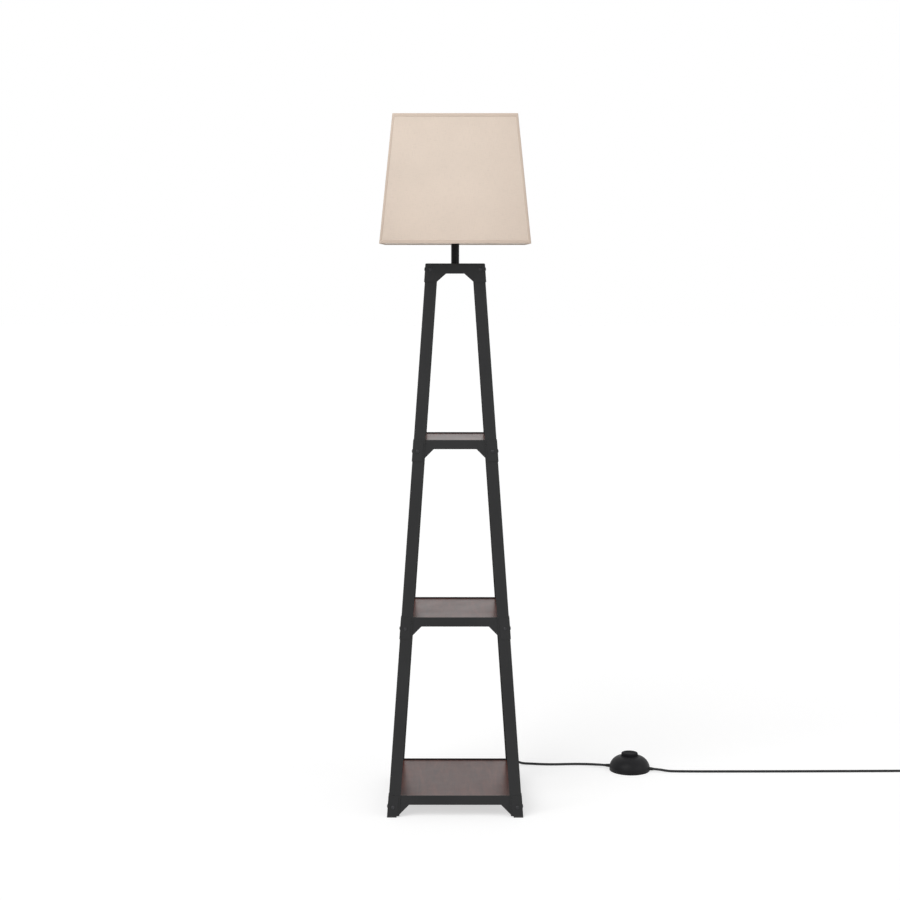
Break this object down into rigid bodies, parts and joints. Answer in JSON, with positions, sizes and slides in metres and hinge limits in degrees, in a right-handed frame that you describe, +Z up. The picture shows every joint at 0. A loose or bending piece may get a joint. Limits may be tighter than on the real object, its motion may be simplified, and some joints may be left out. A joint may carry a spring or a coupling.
{
  "type": "shelf floor lamp",
  "caption": "Tapered square tower of black folded sheet steel with wooden shelves, a short stem with a square tapered fabric shade, and a foot switch on its cord.",
  "frame": {"origin": "on the floor under the middle of the tower", "axes": "+Z up, +X to the right seen from the front, the front faces -Y"},
  "size_m": [1.4435, 0.4554, 1.6],
  "materials": {
    "frame_paint": "semi-matt black powder coat",
    "board_wood": "dark brown stain under clear varnish",
    "glide_plastic": "matt",
    "screw_black": "black coated steel",
    "zinc_steel": "zinc plated",
    "holder_plastic": "moulded, matt",
    "bulb_cap_metal": "pressed screw shell",
    "bulb_glass": "frosted",
    "shade_fabric": "woven linen look, laminated",
    "shade_wire": "white paint",
    "cord_rubber": "smooth black sheath",
    "boot_rubber": "moulded, matt",
    "clip_plastic": "moulded",
    "switch_plastic": "moulded, half gloss",
    "button_plastic": "moulded, half gloss",
    "unit_plastic": "moulded, off-white",
    "spring_steel": "drawn wire",
    "plug_plastic": "moulded",
    "blade_brass": "plain"
  },
  "bodies": {
    "frame": {"board_lower": "board_wood", "board_middle": "board_wood", "board_upper": "board_wood", "bracket_middle_front_left": "frame_paint", "bracket_middle_front_right": "frame_paint", "bracket_middle_rear_left": "frame_paint", "bracket_middle_rear_right": "frame_paint", "bracket_upper_front_left": "frame_paint", "bracket_upper_front_right": "frame_paint", "bracket_upper_rear_left": "frame_paint", "bracket_upper_rear_right": "frame_paint", "bulb_cap": "bulb_cap_metal", "bulb_glass": "bulb_glass", "cap_screws": "screw_black", "cord_coil": "cord_rubber", "cord_to_coil": "cord_rubber", "cord_to_switch": "cord_rubber", "foot_brackets": "frame_paint", "foot_glides": "glide_plastic", "frame_nuts": "zinc_steel", "frame_screws": "screw_black", "lampholder_body": "holder_plastic", "lampholder_cup": "frame_paint", "lead": "cord_rubber", "lead_clips": "clip_plastic", "lead_gland": "boot_rubber", "leg_lower_front_left": "frame_paint", "leg_lower_front_right": "frame_paint", "leg_lower_rear_left": "frame_paint", "leg_lower_rear_right": "frame_paint", "leg_middle_front_left": "frame_paint", "leg_middle_front_right": "frame_paint", "leg_middle_rear_left": "frame_paint", "leg_middle_rear_right": "frame_paint", "leg_upper_front_left": "frame_paint", "leg_upper_front_right": "frame_paint", "leg_upper_rear_left": "frame_paint", "leg_upper_rear_right": "frame_paint", "plug_blades": "blade_brass", "plug_body": "plug_plastic", "shade_ring": "holder_plastic", "shelf_frame_lower": "frame_paint", "shelf_frame_middle": "frame_paint", "shelf_frame_upper": "frame_paint", "stem_lock_nut": "zinc_steel", "stem_nipple": "zinc_steel", "stem_tube": "frame_paint", "stem_washer": "zinc_steel", "switch_base": "switch_plastic", "switch_boots": "boot_rubber", "switch_cover": "switch_plastic", "switch_screws": "spring_steel", "switch_spring": "spring_steel", "switch_unit": "unit_plastic", "top_cap": "frame_paint"},
    "shade": {"shade_cover": "shade_fabric", "shade_frame": "shade_wire"},
    "button": {"switch_button": "button_plastic", "switch_plunger": "unit_plastic"}
  },
  "joints": [
    {"name": "shade_turn", "type": "hinge", "parent": "frame", "child": "shade", "pos_m": [0, 0, 1.4186], "axis": [0, 0, 1], "continuous": true},
    {"name": "button_push", "type": "slide", "parent": "frame", "child": "button", "axis": [0, 0, -1], "range_m": [0, 0.0035], "stiffness_N_per_m": 1500, "springref_m": -0.004, "deforming": ["switch_spring"]}
  ]
}
